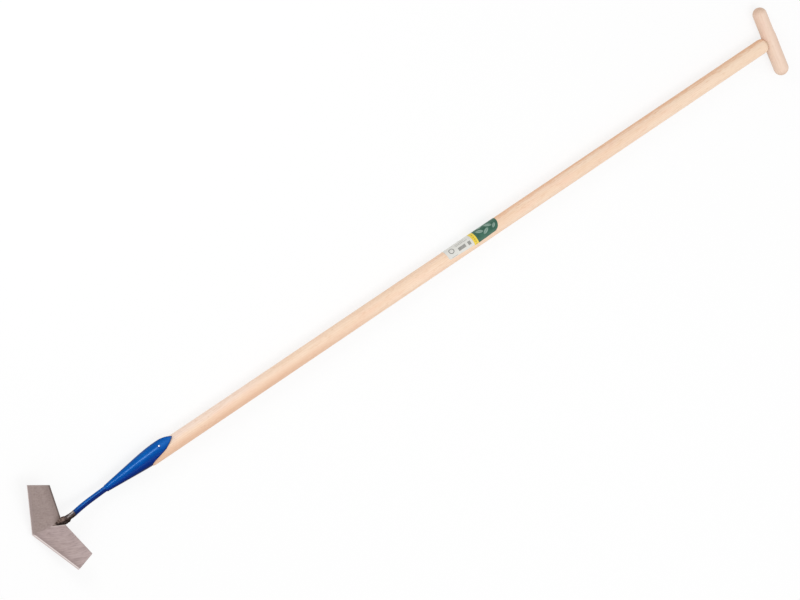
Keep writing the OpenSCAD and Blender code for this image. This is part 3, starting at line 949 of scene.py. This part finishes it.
# Handle: a turned pole, shaved down to go into the socket and rounded off at the crossbar
handleShape = {
    "r": 14.0, "start": -100, "plugEnd": -25, "plugStep": 1.25, "poleFrom": -20, "poleStep": 7,
    "shave": 9, "shaveTurn": 26, "fit": 0.2, "reach": 1338.4,
    "shoulder": 10, "shoulderGap": 2, "shoulderStep": 0.12, "drop": 4.5,
    "tenonR": 9, "tenonGap": 0.2, "tenonEnd": 1356, "sides": 112,
    "wave": 0.07, "waveSink": 0.8, "waveLen": 55, "seed": 2,
}
handleWood = woodPaint("sandedPole", {
    **woodGrain, "grain": "x", "pith": (0.034, -0.021), "rings": 330,
    "ringDepth": 0.22, "fleckDepth": 0.42, "rayDepth": 0.38,
    "light": tint(254, 228, 204), "line": tint(226, 180, 143), "dark": tint(186, 138, 104),
    "deep": (tint(245, 210, 179), 0.25, 0.8, 0.7), "blush": (tint(252, 214, 190), 0.42, 0.78, 0.6),
    # painted light and shade: bands laid by the angle round the pole
    "lightAndShadeBands": [
        ((0.3, 0.9), (2.9, 2.0), (-0.2, -0.1), (0.26, 0.1), 0.6, tint(255, 236, 225)),
        ((-2.9, -2.0), (2.9, 2.0), (0.95, 1.25), (1.7, 1.6), 0.5, tint(255, 232, 207)),
        ((-2.6, -1.2), (0.55, -0.3), (-0.2, -0.1), (0.5, 0.2), 0.9, tint(236, 194, 164)),
        ((0.75, 1.4), (2.9, 2.0), (0.45, 0.8), (1.7, 1.6), 0.9, tint(244, 196, 160)),
    ],  # steps round the pole and along it, depth and tone
    # painted shade: a dark band on the shoulder where the pole meets the crossbar
    "endGrainAndJointShade": (-0.2, 1.3390, 0.006), "endTone": tint(150, 108, 76),
})


def makeHandle():
    s = handleShape
    collarEnd = socketLen - socketShape["filletTo"]
    stations = spread(s["start"], s["plugEnd"], s["plugStep"])
    stations += spread(s["poleFrom"], s["reach"] - s["shoulder"] - s["shoulderGap"], s["poleStep"])
    rings = []
    for x in stations:
        t = x + socketLen
        middle = socketFrame @ Vector((t, 0, 0))
        innerR = socketRadius(min(t, socketLen)) - socketShape["sheet"] - s["fit"]
        covered = sheetHalfTurn(t) if t < socketLen else -180
        ring = []
        for a in turns(s["sides"]):
            y, z = sin(a), cos(a)
            leant = y * middle.y + z * middle.z
            wall = leant + sqrt(max(0.01, innerR ** 2 - middle.y ** 2 - middle.z ** 2 + leant ** 2))
            r = s["r"] + s["wave"] * (wander(x / s["waveLen"], y, z, s["seed"]) - s["waveSink"])
            # under the sheet the wood follows it, and beside the tongue it swells to its full girth
            beside = abs((degrees(a) - socketShape["tongueTurn"] + 180) % 360 - 180) - covered
            free = between(beside, 0, s["shaveTurn"]) * between(t, collarEnd, collarEnd + s["shave"])
            r = min(r, wall + (r - wall) * free)
            ring.append((x, r * y, r * z))
        rings.append(ring)
    end = [(s["reach"] - s["shoulder"] * (1 - sin(a)), s["r"] - s["drop"] * (1 - cos(a)))
           for a in spread(0, pi / 2, s["shoulderStep"])]
    end += [(x, s["tenonR"]) for x in (s["reach"] + s["tenonGap"], s["tenonEnd"])]
    rings += [[(x, r * sin(a), r * cos(a)) for a in turns(s["sides"])] for x, r in end]
    points, faces = tube(rings)
    standFor(addPiece("handle_pole", points, faces, [handleWood], sharp=40), "handle")


makeHandle()

# Crossbar: a turned grip with rounded ends, one arm a little thinner, and a dimple over the brad
gripShape = {
    "x": 1352.6, "lowEnd": -72.4, "highEnd": 68.6, "armR": 14.0, "thinR": 13.4, "midR": 14.2, "slopeAt": 9,
    "slope": 9, "sides": 240, "wave": 0.07, "waveSink": 0.8, "waveLen": 16, "waveFullR": 8,
    "capStep": 0.09, "capTip": 0.02, "armStep": 2, "middle": 4, "middleStep": 0.35,
    "dimpleR": 2.3, "dimpleRim": (-0.1, 0.3), "dimple": 1.15, "seed": 4,
}
gripWood = woodPaint("sandedGrip", {
    **woodGrain, "grain": "y", "middle": 1.3526, "pith": (0.012, 0.03), "rings": 300,
    "ringDepth": 0.14, "fleckDepth": 0.3, "rayDepth": 0.26, "lightAndShadeBands": [],
    "light": tint(247, 221, 202), "line": tint(221, 181, 154), "dark": tint(186, 142, 114),
    "deep": (tint(237, 207, 184), 0.25, 0.8, 0.7), "blush": (tint(243, 209, 192), 0.42, 0.78, 0.6),
    "endGrainAndJointShade": (-0.0724, 0.0686, 0.012), "endTone": tint(205, 168, 138),
})


def gripRadius(y):
    s = gripShape
    end, r = (s["highEnd"], s["thinR"]) if y > 0 else (-s["lowEnd"], s["armR"])
    away = abs(y)
    if away > end - r:
        return r * sqrt(max(0, 1 - ((away - end + r) / r) ** 2))
    return s["midR"] + (r - s["midR"]) * between(away, s["slopeAt"], s["slopeAt"] + s["slope"])


def makeGrip():
    s = gripShape
    quarter, tip, step, middle = pi / 2, s["capTip"], s["armStep"], s["middle"]
    lowCap = [s["lowEnd"] + s["armR"] * (1 - cos(a)) for a in spread(tip, quarter, s["capStep"])]
    highCap = [s["highEnd"] - s["thinR"] * (1 - cos(a)) for a in spread(quarter, tip, s["capStep"])]
    stations = lowCap + spread(lowCap[-1] + step, -middle - 1, step)
    stations += spread(-middle, middle, s["middleStep"])
    stations += spread(middle + 1, highCap[0] - step, step) + highCap
    rimIn, rimOut = (s["dimpleR"] + rim for rim in s["dimpleRim"])
    rings = []
    for y in stations:
        ring = []
        for a in turns(s["sides"]):
            r = gripRadius(y)
            wave = wander(sin(a), y / s["waveLen"], cos(a), s["seed"]) - s["waveSink"]
            r += s["wave"] * wave * min(1, r / s["waveFullR"])
            if cos(a) < 0:
                r -= s["dimple"] * (1 - between(hypot(r * sin(a), y), rimIn, rimOut))
            ring.append((s["x"] + r * sin(a), y, r * cos(a)))
        rings.append(ring)
    points, faces = tube(rings)
    standFor(addPiece("crossbar_grip", points, faces, [gripWood], sharp=50), "crossbar")


makeGrip()


# Brad: the CAD solid is right as it is, and gets a scuffed steel
def bradPaint(name, look):
    paint = Paint(name)
    scuff = paint.noise(*look["scuff"])
    tone = paint.coat(look["light"], look, dark=scuff)
    rough = 0.3 + scuff * 0.25
    return paint.finish(tone, rough, gloss=0.5, height=scuff, relief=(0.00005, 0.5), metal=0.9)


bradLook = {"scuff": (1400, 3, 0.6), "light": tint(205, 202, 198), "dark": (tint(150, 146, 142), 0.35, 0.7)}
brad = cadNodes["crossbar_brad"]
dress(brad.data, bradPaint("bradSteel", bradLook))
print("brad finished")

# Labels: printed film on the handle, drawn in millimetres along and round it
labelShape = {
    "r": 14.06, "thick": 0.16, "width": 42, "columns": 60, "step": 1, "endLen": 3, "endStep": 0.2,
    "white": {"start": 580.5, "length": 55.5, "low": (0, -8.5), "corners": ((4, 4), (0.3, 0.3))},
    "green": {"start": 636.2, "length": 59.5, "low": (-14.5, -6.5), "corners": ((0.3, 0.3), (15, 20))},
}
whiteLook = {
    "paper": tint(228, 227, 221), "soil": (tint(212, 212, 205), 0.4, 0.75, 0.5), "ink": tint(104, 102, 98),
    "dirt": (160, 3, 0.6), "soft": 0.2, "hatch": (24, 40, 4, 10), "pitch": 2.4, "stripe": (0.3, 0.85, 0.12),
    "hatchDepth": (0.35, 0.6), "ring": (12, 12, 4.6, 0.7), "ringDepth": 0.85, "ruleDepth": 0.7,
    "rules": [(23, 48, 14.5, 15.3), (23, 42, 17.5, 18.3), (6, 18, 0.5, 1.2), (45, 51, 3, 10)],
}
greenLook = {
    "green": tint(60, 108, 88), "deep": (tint(40, 86, 69), 0.3, 0.75), "leaf": tint(150, 176, 163),
    "leaves": [(20, 14, 8.5, 4.6, 0.5), (31, 8, 8, 4, -0.45), (40, 16, 8.5, 4.4, 0.6), (27, 23, 7, 3.6, -0.3),
               (49, 9, 6, 3.2, -0.7)],  # place along and round, half length, half width, slant
    "leafRim": (1.05, 0.75), "leafPoint": 0.4, "leafDepth": 0.85,
    "rib": (-0.12, 0.12, 0.08), "ribDepth": 0.55,
    "cloud": (75, 3, 0.6), "bandAt": (9.1, 8.5), "dashes": (3.2, 5.6, 0.25), "dashPitch": 4.5,
    "dash": (0.2, 0.75, 0.06), "dashDepth": 0.8, "dashTone": tint(176, 152, 50),
    "yellow": tint(246, 220, 84), "ochre": (tint(236, 204, 62), 0.35, 0.7),
}


def filmPlace(paint, start):
    # millimetres along the label and round the handle
    x, y, z = paint.split(paint.place)
    return (x - start * mm) / mm, y.math("ARCTAN2", z) * labelShape["r"]


def whiteFilm(name, look):
    # a hatched panel, a ring and a few rules
    paint = Paint(name)
    along, arc = filmPlace(paint, labelShape["white"]["start"])
    soft = look["soft"]

    def panel(low, high, under, over):
        return paint.within(along, low, high, soft) * paint.within(arc, under, over, soft)

    dirt = paint.noise(*look["dirt"])
    stripe = paint.within(((along + arc) / look["pitch"]).math("FRACT"), *look["stripe"])
    middle, height, size, wide = look["ring"]
    away = ((along - middle) ** 2 + (arc - height) ** 2) ** 0.5
    plain, striped = look["hatchDepth"]
    masks = [
        panel(*look["hatch"]) * (plain + stripe * striped),
        paint.within(away, size - wide, size + wide, soft) * look["ringDepth"],
    ]
    tone = paint.coat(look["paper"], look, soil=dirt)
    for mask in masks + [panel(*rule) * look["ruleDepth"] for rule in look["rules"]]:
        tone = paint.blend(mask, tone, look["ink"])
    return paint.finish(tone, rough=0.38 + dirt * 0.15, gloss=0.3, height=dirt, relief=(0.00003, 0.4))


def greenFilm(name, look):
    # leaves on green, and a yellow band with dashes
    paint = Paint(name)
    along, arc = filmPlace(paint, labelShape["green"]["start"])
    cloud = paint.noise(*look["cloud"])
    tone = paint.coat(look["green"], look, deep=cloud)
    for middle, height, halfLen, halfW, slant in look["leaves"]:
        u, v = along - middle, arc - height
        across = (u * sin(slant) + v * cos(slant)) / halfW
        down = (u * cos(slant) - v * sin(slant)) / halfLen
        outline = down ** 2 + across.math("ABSOLUTE") + across ** 2 * look["leafPoint"]
        rib = paint.within(across, *look["rib"])
        leaf = paint.step(outline, *look["leafRim"]) * (look["leafDepth"] - rib * look["ribDepth"])
        tone = paint.blend(leaf, tone, look["leaf"])
    dash = paint.within((arc / look["dashPitch"]).math("FRACT"), *look["dash"]) * look["dashDepth"]
    sun = paint.coat(look["yellow"], look, ochre=cloud)
    sun = paint.blend(paint.within(along, *look["dashes"]) * dash, sun, look["dashTone"])
    tone = paint.blend(paint.step(along, *look["bandAt"]), tone, sun)
    return paint.finish(tone, rough=0.34 + cloud * 0.12, gloss=0.35, height=cloud, relief=(0.00003, 0.4))


def makeLabel(name, film, material, node):
    s = labelShape
    r, length, endLen = s["r"], film["length"], s["endLen"]
    ends = spread(0, endLen, s["endStep"]) + spread(length - endLen, length, s["endStep"])
    walls = {r + s["thick"]: [], r: []}
    for along in sorted(set(spread(0, length, s["step"]) + ends)):
        edge = film["low"][0] + (film["low"][1] - film["low"][0]) * along / length
        lowArc = radians(edge) * r
        highArc = lowArc + s["width"]
        for (cornerLen, cornerW), away in zip(film["corners"], (along, length - along)):
            if away < cornerLen:
                cut = cornerW * (1 - sqrt(max(0, 1 - ((cornerLen - away) / cornerLen) ** 2)))
                lowArc += cut
                highArc -= cut
        arcs = [lowArc + (highArc - lowArc) * j / s["columns"] for j in range(s["columns"] + 1)]
        x = film["start"] + along
        for wallR, rows in walls.items():
            rows.append([(x, wallR * sin(a / r), wallR * cos(a / r)) for a in arcs])
    points, faces = sheetBody(*walls.values())
    standFor(addPiece(name, points, faces, [material], sharp=40), node)


whitePrint, greenPrint = whiteFilm("whiteFilm", whiteLook), greenFilm("greenFilm", greenLook)
makeLabel("label_white_film", labelShape["white"], whitePrint, "label_white")
makeLabel("label_green_film", labelShape["green"], greenPrint, "label_green")

# Stage: a pale floor under the hoe, soft light and the camera of the photograph
stageShape = {"floor": 30000, "gap": 0.05, "bounce": 0.8, "lit": 0.8, "worldFill": 0.66}
lamps = [
    {"name": "key", "place": (-0.05, 1.70, 1.06), "aim": (-0.05, 0, 0), "size": (0.6, 0.7), "watts": 8},
    {"name": "soft", "place": (0.85, -1.0, 2.6), "aim": (1.0, 0, 0), "size": (2.6, 1.4), "watts": 24},
    {"name": "strip", "place": (0.38, 1.70, 1.06), "aim": (0.38, 0, 0), "size": (1.6, 0.5), "watts": 190,
     "colour": (0.32, 0.62, 1.0), "gloss": ("socket_sheet", "neck_rod", "socket_bead")},
]
cameraShape = {
    "place": (-607.2, 1357.8, 3198.0), "right": (0.79141, -0.41781, 0.44621),
    "up": (0.53502, 0.82651, -0.17503), "back": (-0.29567, 0.37725, 0.87765),
    "lens": 93.794, "sensor": 36, "shift": (-0.000625, 0.000625), "clip": (0.05, 60),
}


def twoSided(tree, lightSide, outKind):
    # the light side serves the light, and the other what the camera, a reflection or a clear body sees
    tree.nodes.clear()
    graph = Graph(tree)
    rays = [graph.node("ShaderNodeLightPath", output=name)
            for name in ("Is Camera Ray", "Is Glossy Ray", "Is Transmission Ray")]
    seen = rays[0].math("MAXIMUM", rays[1]).math("MAXIMUM", rays[2])
    lit, plain = lightSide(graph)
    graph.node(outKind, None, {0: graph.node("ShaderNodeMixShader", None, {0: seen, 1: lit, 2: plain})})


def studioLight(graph):
    strengths = (stageShape["worldFill"], 1.0)
    return [graph.node("ShaderNodeBackground", None, {"Color": (1, 1, 1), "Strength": s}) for s in strengths]


def floorFinish(graph):
    # the white floor glows in part, so that it is pale and still takes the shadow
    matt = graph.node("ShaderNodeBsdfDiffuse", None, {"Color": (stageShape["bounce"],) * 3})
    pale = graph.node("ShaderNodeBsdfDiffuse", None, {"Color": (1, 1, 1)})
    glow = graph.node("ShaderNodeEmission", None, {"Color": (1, 1, 1)})
    return matt, graph.node("ShaderNodeMixShader", None, {0: stageShape["lit"], 1: pale, 2: glow})


def makeStage():
    s = stageShape
    scene.world = bpy.data.worlds.new("studio")
    scene.world.use_nodes = True
    twoSided(scene.world.node_tree, studioLight, "ShaderNodeOutputWorld")
    material = bpy.data.materials.new("paleFloor")
    material.use_nodes = True
    twoSided(material.node_tree, floorFinish, "ShaderNodeOutputMaterial")
    half, level = s["floor"] / 2, cadLow.z / mm - s["gap"]
    corners = [(-half, -half, level), (half, -half, level), (half, half, level), (-half, half, level)]
    floor = addPiece("floor", corners, [(0, 1, 2, 3)], [material], sharp=35)


def makeLamp(lamp):
    data = bpy.data.lights.new(lamp["name"], "AREA")
    data.shape = "RECTANGLE"
    data.size, data.size_y = lamp["size"]
    data.energy = lamp["watts"]
    data.color = lamp.get("colour", (1, 1, 1))
    obj = addObject(lamp["name"], data)
    obj.location = lamp["place"]
    way = Vector(lamp["aim"]) - Vector(lamp["place"])
    obj.rotation_euler = way.to_track_quat("-Z", "Y").to_euler()
    if "gloss" in lamp:
        # seen only as a streak in the gloss of these pieces
        obj.visible_diffuse = False
        shiny = bpy.data.collections.new(lamp["name"])
        for name in lamp["gloss"]:
            shiny.objects.link(bpy.data.objects[name])
        obj.light_linking.receiver_collection = shiny


def makeCamera():
    c = cameraShape
    data = bpy.data.cameras.new("camera")
    data.lens, data.sensor_width = c["lens"], c["sensor"]
    data.shift_x, data.shift_y = c["shift"]
    data.clip_start, data.clip_end = c["clip"]
    eye = addObject("camera", data)
    axes = Matrix((c["right"], c["up"], c["back"])).transposed()
    eye.matrix_world = Matrix.Translation(Vector(c["place"]) * mm) @ axes.to_4x4()
    scene.camera = eye
    scene.view_settings.view_transform = "Standard"


makeStage()
for lamp in lamps:
    makeLamp(lamp)
makeCamera()
print("stage made")
